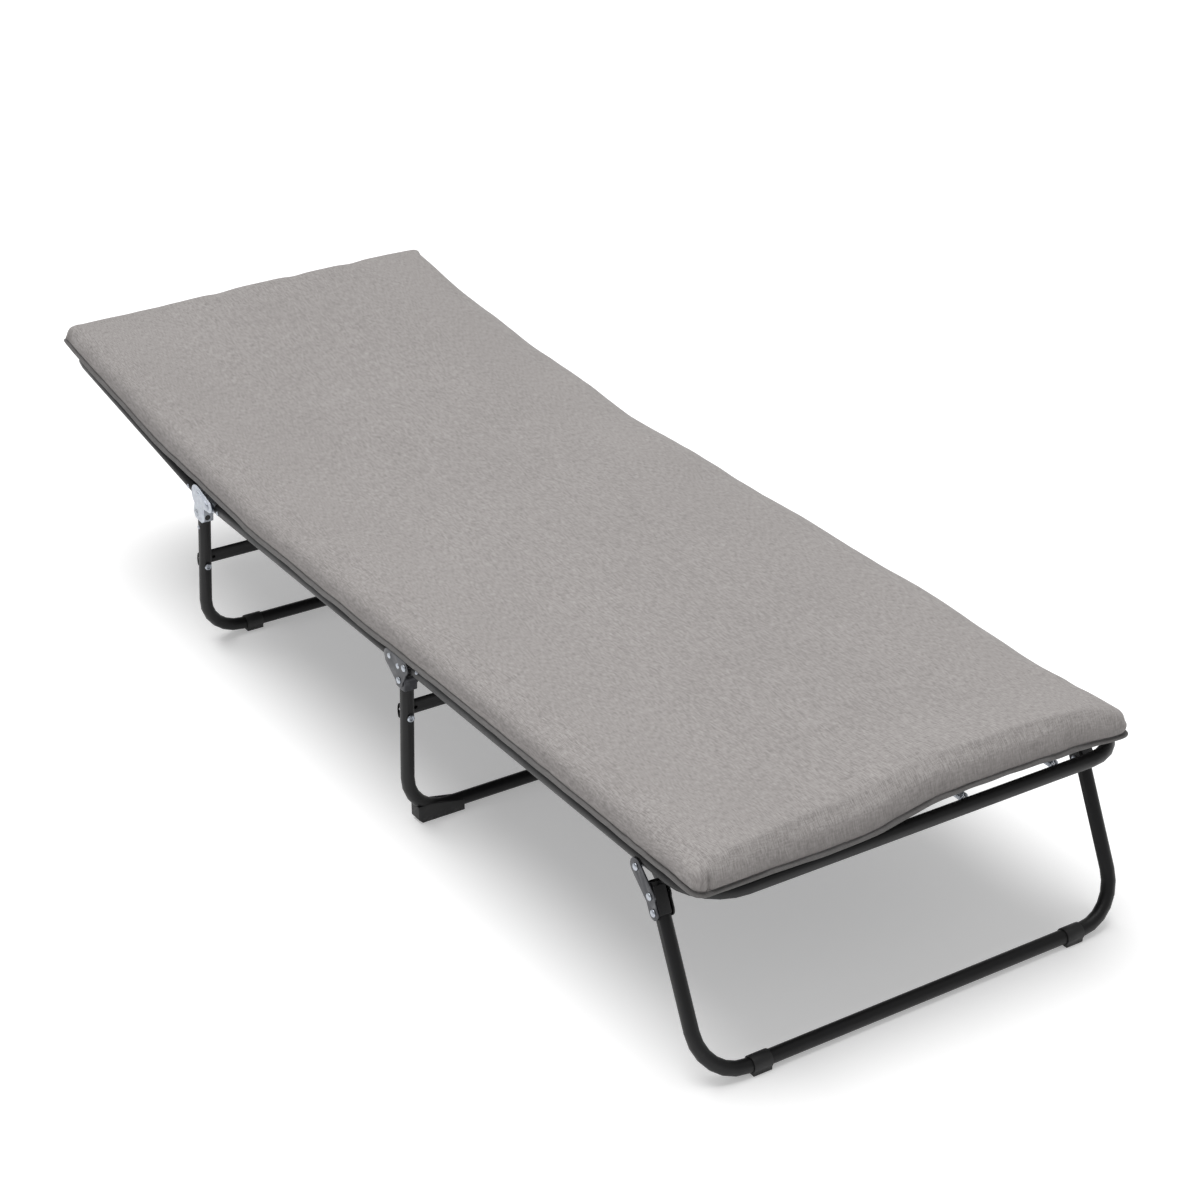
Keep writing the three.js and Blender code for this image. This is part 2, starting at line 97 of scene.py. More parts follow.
# ---- node helpers ----
class Shader:
    """A material being built: a principled shader, and short ways to add nodes and link them."""

    def __init__(self, name):
        self.material = bpy.data.materials.new(name)
        self.material.use_nodes = True
        self.nodes = self.material.node_tree.nodes
        self.links = self.material.node_tree.links
        self.surface = self.nodes["Principled BSDF"]

    def feed(self, node, inputs):
        for name, value in inputs.items():
            if isinstance(value, bpy.types.NodeSocket):
                self.links.new(value, node.inputs[name])
            else:
                node.inputs[name].default_value = value

    def add(self, kind, settings=None, **inputs):
        node = self.nodes.new(kind)
        for name, value in (settings or {}).items():
            setattr(node, name, value)
        self.feed(node, {name.replace("_", " "): value for name, value in inputs.items()})
        return node

    def place(self, stretch=(1, 1, 1), attribute=None):
        """Coordinates in metres, stretched; from a stored attribute, or from the object itself."""
        if attribute:
            source = self.add("ShaderNodeAttribute", {"attribute_name": attribute}).outputs["Vector"]
        else:
            source = self.add("ShaderNodeTexCoord").outputs["Object"]
        return self.add("ShaderNodeMapping", Vector=source, Scale=stretch).outputs["Vector"]

    def noise(self, vector, scale, detail=3.0, roughness=0.5):
        return self.add("ShaderNodeTexNoise", Vector=vector, Scale=scale, Detail=detail,
                        Roughness=roughness).outputs["Fac"]

    def spread(self, value, low, high, to_low=0.0, to_high=1.0):
        node = self.add("ShaderNodeMapRange")
        self.feed(node, {"Value": value, "From Min": low, "From Max": high,
                         "To Min": to_low, "To Max": to_high})
        return node.outputs["Result"]

    def math(self, operation, first, second):
        node = self.add("ShaderNodeMath", {"operation": operation})
        for index, value in enumerate((first, second)):
            if isinstance(value, bpy.types.NodeSocket):
                self.links.new(value, node.inputs[index])
            else:
                node.inputs[index].default_value = value
        return node.outputs[0]

    def mix(self, share, first, second):
        node = self.add("ShaderNodeMix", {"data_type": "RGBA"})
        for index, value in ((0, share), (6, first), (7, second)):
            if isinstance(value, bpy.types.NodeSocket):
                self.links.new(value, node.inputs[index])
            else:
                node.inputs[index].default_value = value if index == 0 else (*value, 1)
        return node.outputs[2]

    def bump(self, height, distance, strength=1.0):
        node = self.add("ShaderNodeBump", Height=height, Distance=distance, Strength=strength)
        return node.outputs["Normal"]

    def finish(self, **inputs):
        self.feed(self.surface, {name.replace("_", " "): value for name, value in inputs.items()})
        return self.material


# ---- metals and plastics ----
def coated_steel():
    """Black powder coat: satin, with a faint orange peel and thin grey wear."""
    make = Shader("black_powder_coat")
    place = make.place()
    wear = make.spread(make.noise(place, 35, 5, 0.65), 0.62, 0.75)
    colour = make.mix(wear, (0.007, 0.007, 0.0075), (0.014, 0.014, 0.015))
    peel = make.noise(place, 1400, 2)
    dulled = make.spread(make.noise(place, 18, 4), 0.3, 0.7, 0.38, 0.5)
    return make.finish(Base_Color=colour, Roughness=dulled, Specular_IOR_Level=0.32,
                       Normal=make.bump(peel, 0.00012, 0.5))


def plated_steel():
    """Zinc plate on stamped steel: bright, blotchy crystals and fine scratches."""
    make = Shader("zinc_plate")
    crystals = make.add("ShaderNodeTexVoronoi", Vector=make.place(), Scale=420.0).outputs["Color"]
    blotch = make.noise(make.place(), 110, 4, 0.6)
    colour = make.mix(make.spread(blotch, 0.3, 0.7), (0.36, 0.38, 0.42), (0.56, 0.59, 0.63))
    tinted = make.mix(0.12, (0.8, 0.82, 0.86), crystals)
    both = make.add("ShaderNodeMix", {"data_type": "RGBA", "blend_type": "MULTIPLY"})
    both.inputs[0].default_value = 0.3
    make.links.new(colour, both.inputs[6])
    make.links.new(tinted, both.inputs[7])
    scratches = make.noise(make.place((1, 14, 14)), 160, 3)
    roughness = make.spread(blotch, 0.25, 0.75, 0.34, 0.46)
    return make.finish(Base_Color=both.outputs[2], Metallic=1.0, Roughness=roughness,
                       Normal=make.bump(scratches, 0.0002, 0.35))


def dark_plate():
    """Dark graphite steel of the hinge plates, rubbed lighter in places."""
    make = Shader("graphite_steel")
    place = make.place()
    rubbed = make.spread(make.noise(place, 70, 5, 0.6), 0.5, 0.72)
    colour = make.mix(rubbed, (0.055, 0.056, 0.062), (0.11, 0.112, 0.12))
    roughness = make.spread(make.noise(place, 45, 4), 0.3, 0.7, 0.3, 0.45)
    return make.finish(Base_Color=colour, Metallic=0.75, Roughness=roughness,
                       Normal=make.bump(make.noise(place, 900, 2), 0.00015, 0.4))


def moulded_plastic():
    """Black moulded plastic with a fine spark-eroded grain, scuffed where it meets the floor."""
    make = Shader("black_moulded_plastic")
    place = make.place()
    height = make.add("ShaderNodeSeparateXYZ", Vector=place).outputs["Z"]
    low = make.spread(height, 0.0, 0.012, 1.0, 0.0)
    scuffs = make.math("MULTIPLY", low, make.spread(make.noise(place, 220, 4), 0.45, 0.65))
    colour = make.mix(scuffs, (0.0105, 0.0105, 0.011), (0.045, 0.045, 0.046))
    grain = make.noise(place, 1800, 2)
    roughness = make.spread(make.noise(place, 60, 3), 0.3, 0.7, 0.48, 0.62)
    return make.finish(Base_Color=colour, Roughness=roughness, Normal=make.bump(grain, 0.0001, 0.6))


# ---- fabrics ----
# Painted shade: the mattress's sides are coloured darker towards the seam, between two heights above the rails'
# centre line.
PAINTED_SEAM_SHADE = 0.8
SEAM_HEIGHT = 0.013
UNSHADED_HEIGHT = 0.046
SLUB_LENGTH = 105        # noise scale along a thread
SLUB_WIDTH = 1150        # and across it


def woven(name, base, light, dark, sheen, attribute):
    """Heathered plain weave: pale and dark slubs along both threads, soft blotches and a thread bump; with a
    stored attribute, painted shade darkens the sides towards the seam.
    """
    make = Shader(name)
    warp = make.noise(make.place((SLUB_WIDTH, SLUB_LENGTH, SLUB_LENGTH), attribute), 1.0, 1, 0.5)
    weft = make.noise(make.place((SLUB_LENGTH, SLUB_WIDTH, SLUB_LENGTH), attribute), 1.0, 1, 0.5)
    yarns = make.noise(make.place((1500, 420, 900), attribute), 1.0, 1, 0.5)
    heather = make.math("ADD", make.math("MULTIPLY", warp, 0.66), make.math("MULTIPLY", weft, 0.34))
    pale = make.mix(make.spread(heather, 0.5, 0.72), base, light)
    flecked = make.mix(make.spread(heather, 0.5, 0.3), pale, dark)
    threaded = make.mix(make.spread(yarns, 0.42, 0.7, 0.0, 0.2), flecked, dark)
    blotches = make.noise(make.place((1, 1, 1), attribute), 6, 3, 0.5)
    colour = make.mix(make.spread(blotches, 0.3, 0.75, 0.0, 0.16), threaded, dark)
    if attribute:
        place = make.place((1, 1, 1), attribute)
        height = make.add("ShaderNodeSeparateXYZ", Vector=place).outputs["Z"]
        # Painted shade: the colour is darkened between the two heights, most at the seam.
        shade = make.spread(height, SEAM_HEIGHT, UNSHADED_HEIGHT, PAINTED_SEAM_SHADE, 0.0)
        colour = make.mix(shade, colour, tuple(0.7 * part for part in dark))
    surface = make.math("ADD", make.math("MULTIPLY", yarns, 0.5), heather)
    roughness = make.spread(heather, 0.35, 0.65, 0.95, 0.82)
    return make.finish(Base_Color=colour, Roughness=roughness, Sheen_Weight=sheen, Sheen_Roughness=0.45,
                       Specular_IOR_Level=0.2, Normal=make.bump(surface, 0.0008, 0.6))


MATERIALS = {
    "black_paint": coated_steel(),
    "zinc_steel": plated_steel(),
    "dark_steel": dark_plate(),
    "black_plastic": moulded_plastic(),
    "deck_fabric": woven("deck_canvas", (0.028, 0.03, 0.034), (0.05, 0.053, 0.058),
                         (0.012, 0.013, 0.015), 0.15, None),
    "pad_fabric": woven("pad_heather", (0.345, 0.325, 0.316), (0.47, 0.447, 0.437),
                        (0.225, 0.21, 0.205), 0.12, "flat"),
    "pad_edge": woven("pad_edge_cloth", (0.26, 0.252, 0.249), (0.35, 0.34, 0.336),
                      (0.15, 0.145, 0.143), 0.12, "flat"),
}


# ---- meshes ----
def new_object(name, vertices, faces, material, smooth=True):
    mesh = bpy.data.meshes.new(name)
    mesh.from_pydata([tuple(vertex) for vertex in vertices], [], faces)
    mesh.materials.append(material)
    mesh.polygons.foreach_set("use_smooth", [smooth] * len(mesh.polygons))
    mesh.update()
    obj = bpy.data.objects.new(name, mesh)
    scene.collection.objects.link(obj)
    return obj


def add_piece(name, vertices, faces, slot, body, smooth=True):
    """A piece that rides on one body and takes its finish from a slot of the record."""
    obj = new_object(name, vertices, faces, MATERIALS[slot], smooth)
    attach(obj, body)
    return obj


def apply_modifiers(obj):
    evaluated = obj.evaluated_get(bpy.context.evaluated_depsgraph_get())
    mesh = bpy.data.meshes.new_from_object(evaluated, preserve_all_data_layers=True,
                                           depsgraph=bpy.context.evaluated_depsgraph_get())
    obj.modifiers.clear()
    obj.data = mesh


def ring_faces(rings, per_ring, closed=True):
    """Quads between consecutive rings of vertices that lie one after the other."""
    faces = []
    for ring in range(rings - 1):
        for step in range(per_ring if closed else per_ring - 1):
            follow = (step + 1) % per_ring
            low = ring * per_ring
            high = low + per_ring
            faces.append((low + step, low + follow, high + follow, high + step))
    return faces


def wire(points, radius, sides=6):
    """A round wire along points, capped at both ends, as (vertices, faces)."""
    vertices = []
    normal = None
    for index, point in enumerate(points):
        before = points[max(0, index - 1)]
        after = points[min(len(points) - 1, index + 1)]
        tangent = (after - before).normalized()
        if normal is None:
            normal = tangent.orthogonal().normalized()
        normal = (normal - tangent * normal.dot(tangent)).normalized()
        across = tangent.cross(normal)
        for side in range(sides):
            turn = 2 * math.pi * side / sides
            vertices.append(point + radius * (normal * math.cos(turn) + across * math.sin(turn)))
    faces = ring_faces(len(points), sides)
    faces.append(tuple(reversed(range(sides))))
    faces.append(tuple(range(len(vertices) - sides, len(vertices))))
    return vertices, faces


def gather(shapes):
    """Several (vertices, faces) as one."""
    vertices = []
    faces = []
    for more, their_faces in shapes:
        start = len(vertices)
        vertices.extend(more)
        faces.extend(tuple(index + start for index in face) for face in their_faces)
    return vertices, faces


def turned(profile, place, axis, sides=20):
    """A profile of (radius, along) turned round an axis through place; both ends close on the axis."""
    rotate = Vector((0, 0, 1)).rotation_difference(Vector(axis)).to_matrix()
    vertices = []
    for radius, along in profile:
        for side in range(sides):
            turn = 2 * math.pi * side / sides
            spot = Vector((radius * math.cos(turn), radius * math.sin(turn), along))
            vertices.append(Vector(place) + rotate @ spot)
    faces = ring_faces(len(profile), sides)
    faces.append(tuple(reversed(range(sides))))
    faces.append(tuple(range(len(vertices) - sides, len(vertices))))
    return vertices, faces


# ---- CAD nodes that stay: rounded edges, smooth shading and a material each ----
def clean_up_group():
    """Joins the vertices that the file keeps apart and drops its flat normals."""
    group = bpy.data.node_groups.new("clean_up", "GeometryNodeTree")
    group.interface.new_socket("Geometry", in_out="INPUT", socket_type="NodeSocketGeometry")
    group.interface.new_socket("Geometry", in_out="OUTPUT", socket_type="NodeSocketGeometry")
    start = group.nodes.new("NodeGroupInput")
    end = group.nodes.new("NodeGroupOutput")
    merge = group.nodes.new("GeometryNodeMergeByDistance")
    merge.inputs["Distance"].default_value = 1e-5
    remove = group.nodes.new("GeometryNodeRemoveAttribute")
    remove.inputs["Name"].default_value = "custom_normal"
    group.links.new(start.outputs[0], remove.inputs["Geometry"])
    group.links.new(remove.outputs["Geometry"], merge.inputs["Geometry"])
    group.links.new(merge.outputs["Geometry"], end.inputs[0])
    return group


def shade_smooth_group(largest_turn):
    """Shades smooth across edges that turn less than an angle."""
    group = bpy.data.node_groups.new("smooth_by_angle", "GeometryNodeTree")
    group.interface.new_socket("Geometry", in_out="INPUT", socket_type="NodeSocketGeometry")
    group.interface.new_socket("Geometry", in_out="OUTPUT", socket_type="NodeSocketGeometry")
    start = group.nodes.new("NodeGroupInput")
    end = group.nodes.new("NodeGroupOutput")
    angle = group.nodes.new("GeometryNodeInputMeshEdgeAngle")
    compare = group.nodes.new("FunctionNodeCompare")
    compare.operation = "LESS_EQUAL"
    compare.inputs[1].default_value = largest_turn
    edges = group.nodes.new("GeometryNodeSetShadeSmooth")
    edges.domain = "EDGE"
    faces = group.nodes.new("GeometryNodeSetShadeSmooth")
    faces.domain = "FACE"
    group.links.new(angle.outputs["Unsigned Angle"], compare.inputs[0])
    group.links.new(start.outputs[0], edges.inputs["Geometry"])
    group.links.new(compare.outputs[0], edges.inputs["Shade Smooth"])
    group.links.new(edges.outputs[0], faces.inputs["Geometry"])
    group.links.new(faces.outputs[0], end.inputs[0])
    return group


def dress_cad_nodes():
    clean = clean_up_group()
    smooth = shade_smooth_group(math.radians(35))
    slots = {part["node"]: part["material_slot"] for part in frame["record"]["subparts"]}
    for name, node in frame["nodes"].items():
        node.data.materials.clear()
        node.data.materials.append(MATERIALS[slots[name]])
        node.modifiers.new("clean", "NODES").node_group = clean
        edges = node.modifiers.new("edges", "BEVEL")
        edges.width = 0.0004
        edges.segments = 2
        edges.limit_method = "ANGLE"
        edges.angle_limit = math.radians(40)
        node.modifiers.new("smooth", "NODES").node_group = smooth


dress_cad_nodes()

# ---- mattress ----
PAD = {
    "half_width": 0.347,
    "overhang": 0.007,       # past the end tubes' centre lines
    "underside": tube_radius + 0.0015,
    "lip": 0.0035,           # the seam above the underside
    "top": 0.048,            # above the rails' centre line, at the edge of the flat of the top
    "crown": 0.006,
    "round": 0.024,          # the top's rounded edge
    "round_drop": 0.019,     # and how far it falls
    "corner": 0.020,         # radius of the corners in plan
    "sharp_corner": 0.016,   # and of the lip's corners
    "head_corner_share": 0.4,
    "cell": 0.018,
}


def graded(low, high, edge, cell, stops=()):
    """Positions from low to high: close together near both ends, even between, with a line at each stop."""
    rounds = [edge * share for share in (0, 0.07, 0.2, 0.38, 0.6, 0.82)]
    marks = [low + edge, *stops, high - edge]
    inside = []
    for start, end in zip(marks, marks[1:]):
        count = max(1, round((end - start) / cell))
        inside.extend(start + (end - start) * step / count for step in range(count))
    near = [low + offset for offset in rounds]
    far = [high - offset for offset in reversed(rounds)]
    return near + inside + [high - edge] + far


def round_corner(x, y, half_x, half_y, radius):
    """Moves a point of a rectangle's corner square into the quarter circle."""
    p = (abs(x) - half_x + radius) / radius
    q = (abs(y) - half_y + radius) / radius
    if p <= 0 or q <= 0:
        return x, y
    p, q = p * math.sqrt(1 - q * q / 2), q * math.sqrt(1 - p * p / 2)
    return math.copysign(half_x - radius + radius * p, x), math.copysign(half_y - radius + radius * q, y)


def foot_lift(x, along):
    """The mattress's foot edge stands off the end tube to the right of the middle."""
    lifted = 0.019 * smooth_step((x + 0.11) / 0.13) * (1 - 0.5 * smooth_step((x - 0.245) / 0.09))
    return lifted * smooth_step((pad_foot + 0.16 - along) / 0.16)


def bridge(along):
    """The foam is too stiff to follow the backrest's bend closely, so it stands off the frame there."""
    return 0.014 * math.exp(-((along - back_axis.y) / 0.11) ** 2)


def slump(x, along):
    """The left corner of the head end is thinner."""
    return 0.010 * smooth_step((along - pad_head + 0.22) / 0.22) * smooth_step((0.1 - x) / 0.45)


def right_bulge(x, along):
    """The right edge stands a little higher and wider between its ends."""
    centre = (pad_foot + pad_head) / 2
    between = smooth_step((0.84 - abs(along - centre)) / 0.4)
    return 0.007 * between * smooth_step((x - 0.1) / 0.25) * (1 + 0.12 * math.sin(along * 21))


def narrowing(x, along):
    """The right side runs in towards both of its corners."""
    to_foot = smooth_step((pad_foot + 0.13 - along) / 0.13)
    to_head = smooth_step((along - pad_head + 0.3) / 0.3)
    return (0.014 * to_foot + 0.009 * to_head) * smooth_step((x - 0.15) / 0.19)


def corner_crease(x, along, height, seam):
    """A short upright crease in the foot side, beside the left corner."""
    inset, lean, width, depth, tallest = 0.016, 0.1, 0.0026, 0.006, 0.030
    above = height - seam
    beside = (x + PAD["half_width"] - inset - lean * above) / width
    tall = smooth_step(above / 0.004) * smooth_step((tallest - above) / 0.012)
    return depth * math.exp(-beside ** 2) * tall * smooth_step((pad_foot + 0.02 - along) / 0.01)


pad_foot = foot_end_y - PAD["overhang"]
pad_head = head_end + PAD["overhang"] + 0.004
pad_split = (fold_axis.y + back_axis.y) / 2


def build_mattress():
    """The whole mattress as one closed mesh, with the backrest flat, and a group of its sewn points."""
    half_x = PAD["half_width"]
    half_y = (pad_head - pad_foot) / 2
    centre_y = (pad_foot + pad_head) / 2
    xs = graded(-half_x, half_x, PAD["round"], PAD["cell"], stops=(0.0,))
    ys = graded(pad_foot, pad_head, PAD["round"], PAD["cell"], stops=(pad_split,))
    seam = PAD["underside"] + PAD["lip"]
    drop = PAD["round_drop"]
    vertices = []
    sewn = []
    index = {}

    def outwards(x, y):
        inner_x = max(0.0, abs(x) - half_x + PAD["corner"])
        inner_y = max(0.0, abs(y) - half_y + PAD["corner"])
        length = math.hypot(inner_x, inner_y) or 1.0
        return math.copysign(inner_x / length, x), math.copysign(inner_y / length, y)

    def put(key, height, corner, push=0.0, fixed=True):
        if ys[key[2]] > centre_y:
            corner *= PAD["head_corner_share"]
        x, y = round_corner(xs[key[1]], ys[key[2]] - centre_y, half_x, half_y, corner)
        way = outwards(x, y)
        index[key] = len(vertices)
        vertices.append((x + push * way[0], centre_y + y + push * way[1], height))
        if fixed:
            sewn.append(index[key])

    def top_height(x, y):
        crisp = 0.55 * smooth_step((y - pad_head + 0.25) / 0.25)
        reach = PAD["round"] * (1 - crisp)
        fall_x = max(0.0, 1 - (half_x - abs(x)) / reach)
        fall_y = max(0.0, 1 - (half_y - abs(y - centre_y)) / reach)
        fall = min(1.0, (fall_x ** 3 + fall_y ** 3) ** (1 / 3))
        crown = PAD["crown"] * (1 - (x / half_x) ** 2)
        return PAD["top"] + crown - drop * (1 - math.sqrt(1 - fall * fall))

    last_i, last_j = len(xs) - 1, len(ys) - 1
    for i, x in enumerate(xs):
        for j, y in enumerate(ys):
            on_border = i in (0, last_i) or j in (0, last_j)
            put(("top", i, j), top_height(x, y), PAD["corner"], fixed=False)
            put(("under", i, j), PAD["underside"], PAD["sharp_corner"], push=-0.006 if on_border else 0.0)
    border = ([(i, 0) for i in range(last_i)] + [(last_i, j) for j in range(last_j)]
              + [(i, last_j) for i in range(last_i, 0, -1)] + [(0, j) for j in range(last_j, 0, -1)])
    # Rows down the side: height above the seam, how far out, and the corner's radius.
    # The seam is the notch between the body and the lip.
    rows = [(0.0085, 0.0015, PAD["corner"]), (0.0045, 0.0010, PAD["corner"]),
            (0.0020, -0.0010, PAD["corner"]), (0.0, -0.0042, PAD["sharp_corner"]),
            (-0.0010, -0.0010, PAD["sharp_corner"]),
            (-0.0018, 0.0026, PAD["sharp_corner"]), (-0.0038, 0.0032, PAD["sharp_corner"]),
            (-0.0052, 0.0022, PAD["sharp_corner"]), (-0.0042, 0.0006, PAD["sharp_corner"])]
    for row, (above, push, corner) in enumerate(rows):
        for i, j in border:
            put((row, i, j), seam + above, corner, push, fixed=row > 1)
    faces = []
    edge_faces = set()
    for i in range(last_i):
        for j in range(last_j):
            square = [(i, j), (i + 1, j), (i + 1, j + 1), (i, j + 1)]
            faces.append(tuple(index[("top", *corner)] for corner in square))
            edge_faces.add(len(faces))
            faces.append(tuple(index[("under", *corner)] for corner in reversed(square)))
    levels = ["top", *range(len(rows)), "under"]
    for level, (upper, lower) in enumerate(zip(levels, levels[1:])):
        for here, follow in zip(border, border[1:] + border[:1]):
            if level > 3:
                edge_faces.add(len(faces))
            faces.append((index[(upper, *here)], index[(lower, *here)], index[(lower, *follow)],
                          index[(upper, *follow)]))
    obj = new_object("mattress", vertices, faces, MATERIALS["pad_fabric"])
    obj.data.materials.append(MATERIALS["pad_edge"])
    for face in edge_faces:
        obj.data.polygons[face].material_index = 1
    obj.vertex_groups.new(name="sewn").add(sewn, 1.0, "REPLACE")
    return obj


def inflate(obj, cap):
    """Cloth under pressure swells the mattress between its sewn points; no point moves further than cap."""
    start = [vertex.co.copy() for vertex in obj.data.vertices]
    cloth = obj.modifiers.new("inflate", "CLOTH")
    cloth.settings.quality = 5
    cloth.settings.mass = 0.3
    cloth.settings.tension_stiffness = 12
    cloth.settings.compression_stiffness = 12
    cloth.settings.bending_stiffness = 4
    cloth.settings.use_pressure = True
    cloth.settings.uniform_pressure_force = 4
    cloth.settings.shrink_min = -0.012
    cloth.settings.vertex_group_mass = "sewn"
    cloth.settings.effector_weights.gravity = 0
    for step in range(1, 21):
        scene.frame_set(step)
    evaluated = obj.evaluated_get(bpy.context.evaluated_depsgraph_get())
    moved = [vertex.co.copy() for vertex in evaluated.data.vertices]
    obj.modifiers.clear()
    scene.frame_set(1)
    for vertex, before, after in zip(obj.data.vertices, start, moved):
        shift = after - before
        if shift.length > cap:
            shift *= cap / shift.length
        vertex.co = before + shift


def subdivide(obj, levels):
    obj.modifiers.new("finer", "SUBSURF").levels = levels
    apply_modifiers(obj)


EDGE_BAND = 0.05         # how far in from its edge the mattress's edge is loose
EDGE_WAVE = 0.0035       # how far the loose edge rises and falls
EDGE_WANDER = 0.0022     # and moves in and out
HOLLOW = 0.0032          # depth of the soft hollows of the top
PUCKER = 0.0035          # depth of the puckers along the seam


def settle(obj):
    """Edge waves, puckers and hollows, then the backrest's bend; flat coordinates are kept for the weave."""
    flat = obj.data.attributes.new("flat", "FLOAT_VECTOR", "POINT")
    seam = PAD["underside"] + PAD["lip"]
    half_y = (pad_head - pad_foot) / 2
    for vertex in obj.data.vertices:
        x, along, height = vertex.co
        flat.data[vertex.index].vector = (x, along, height)
        to_edge = min(PAD["half_width"] - abs(x), half_y - abs(along - (pad_foot + pad_head) / 2))
        edge = smooth_step(1 - to_edge / EDGE_BAND)
        low = smooth_step((seam + 0.012 - height) / 0.02)
        wave = noise.noise(Vector((x * 9, along * 9, 3.7)))
        wave += 0.5 * noise.noise(Vector((x * 24, along * 24, 8.1)))
        vertex.co.z += EDGE_WAVE * edge * low * wave
        out = EDGE_WANDER * edge * noise.noise(Vector((x * 13, along * 13, 5.2)))
        vertex.co.x += math.copysign(out, x) * smooth_step(1 - (PAD["half_width"] - abs(x)) / EDGE_BAND)
        hollow = noise.noise(Vector((x * 3.2, along * 2.4, 1.3)))
        hollow += 0.4 * noise.noise(Vector((x * 8, along * 7, 6.6)))
        above = smooth_step((height - seam) / 0.015)
        vertex.co.z += HOLLOW * above * hollow
        pucker = max(0.0, noise.noise(Vector((x * 38, along * 38, 2.2))) - 0.15)
        near_seam = math.exp(-((height - seam - 0.006) / 0.007) ** 2) * smooth_step(1 - to_edge / 0.02)
        shrink = PUCKER * pucker * near_seam
        vertex.co.x -= math.copysign(shrink, x) * (PAD["half_width"] - abs(x) < 0.03)
        vertex.co.y += shrink * (along - pad_foot < 0.03)
        vertex.co.y += corner_crease(x, along, height, seam)
        bulge = right_bulge(x, along)
        vertex.co.x += 0.6 * bulge - narrowing(x, along)
        vertex.co.z += foot_lift(x, along) + bridge(along) + above * (bulge - slump(x, along))
        vertex.co = raised(vertex.co.x, vertex.co.y, vertex.co.z, FOLD_ZONE)


def half_of(obj, name, keep):
    """A copy of obj with only the faces whose middle lies where keep says, in flat coordinates."""
    flat = obj.data.attributes["flat"].data
    chosen = [face for face in obj.data.polygons
              if keep(sum(flat[v].vector[1] for v in face.vertices) / len(face.vertices))]
    used = sorted({v for face in chosen for v in face.vertices})
    renumber = {old: new for new, old in enumerate(used)}
    part = new_object(name, [obj.data.vertices[v].co for v in used],
                      [tuple(renumber[v] for v in face.vertices) for face in chosen], MATERIALS["pad_fabric"])
    part.data.materials.append(MATERIALS["pad_edge"])
    part.data.polygons.foreach_set("material_index", [face.material_index for face in chosen])
    attribute = part.data.attributes.new("flat", "FLOAT_VECTOR", "POINT")
    for old, new in renumber.items():
        attribute.data[new].vector = flat[old].vector
    normals = [obj.data.vertices[v].normal.copy() for v in used]
    part.data.normals_split_custom_set_from_vertices(normals)
    return part


def make_mattress():
    whole = build_mattress()
    inflate(whole, 0.007)
    subdivide(whole, 1)
    settle(whole)
    whole.data.update()
    head = half_of(whole, "mattress_head_half", lambda along: along > pad_split)
    foot = half_of(whole, "mattress_foot_half", lambda along: along <= pad_split)
    bpy.data.objects.remove(whole)
    for part, other, axis, way in ((head, "backrest", back_axis, 1), (foot, "foot_section", fold_axis, -1)):
        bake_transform(part)
    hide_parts("pad_head", "pad_middle")
    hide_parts("pad_foot")


make_mattress()

# ---- deck: a stretched panel in each section, hung on springs ----
WIRE = 0.001
COIL_RADIUS = 0.0055
hem_width = 0.022
hem_thickness = 0.0022
deck_half_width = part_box("deck_middle")[1].x
deck_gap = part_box("deck_foot")[0].y - foot_end_y
DECKS = {
    "head": ("backrest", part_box("deck_head")[0].y, head_end - deck_gap),
    "middle": ("middle_section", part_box("deck_middle")[0].y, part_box("deck_middle")[1].y),
    "foot": ("foot_section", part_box("deck_foot")[0].y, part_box("deck_foot")[1].y),
}


def deck_panel(name, body, start, end):
    """A canvas panel that dips a little between its hems, and the hem that its springs pull on."""
    columns, rows = 40, 40
    sag = 0.006
    vertices = []
    for j in range(rows + 1):
        for i in range(columns + 1):
            u, v = 2 * i / columns - 1, 2 * j / rows - 1
            dip = sag * (1 - u * u) * (1 - v * v)
            vertices.append(raised(u * deck_half_width, start + (end - start) * (v + 1) / 2, -dip))
    faces = ring_faces(rows + 1, columns + 1, closed=False)
    panel = add_piece(f"deck_canvas_{name}", vertices, faces, "deck_fabric", body)
    panel.modifiers.new("cloth_thickness", "SOLIDIFY").thickness = 0.0008
    hem = deck_hem(name, body, start, end)
    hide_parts(f"deck_{name}")


def deck_hem(name, body, start, end):
    """A folded band round the panel's edge, thicker than the canvas, with a soft outer edge."""
    section = [(0, -1), (0.25, -1.15), (0.9, -1), (1, 0), (0.9, 1), (0.25, 1.15), (0, 1)]
    corners = [(-1, start, 1), (1, start, 1), (1, end, -1), (-1, end, -1)]
    vertices = []
    for side, along, way in corners:
        for out, up in section:
            inset = hem_width * (1 - out)
            x = side * (deck_half_width - inset)
            vertices.append(raised(x, along + way * inset, up * hem_thickness / 2))
    faces = ring_faces(4, len(section), closed=True)
    last = 3 * len(section)
    for step in range(len(section)):
        follow = (step + 1) % len(section)
        faces.append((last + step, last + follow, follow, step))
    return add_piece(f"deck_hem_{name}", vertices, faces, "deck_fabric", body, smooth=False)


def spring(start, end):
    """A close-wound extension spring with an open hook at each end."""
    axis = (end - start).normalized()
    side = axis.cross(Vector((0, 0, 1))).normalized()
    up = side.cross(axis)
    length = (end - start).length
    hook = 0.006
    turns = round((length - 2 * hook) / (2.6 * WIRE))
    points = []
    for step in range(7):
        turn = math.pi * (1.25 - 1.25 * step / 6)
        bent = axis * (hook / 2 - hook / 2 * math.sin(turn))
        points.append(start + bent + up * (hook / 2) * math.cos(turn))
    for step in range(10 * turns + 1):
        turn = 2 * math.pi * step / 10
        along = hook + (length - 2 * hook) * step / (10 * turns)
        points.append(start + axis * along + COIL_RADIUS * (up * math.cos(turn) + side * math.sin(turn)))
    for step in range(7):
        turn = math.pi * 1.25 * step / 6
        bent = axis * (hook / 2 - hook / 2 * math.sin(turn))
        points.append(end - bent + up * (hook / 2) * math.cos(turn))
    return wire(points, WIRE, 5)


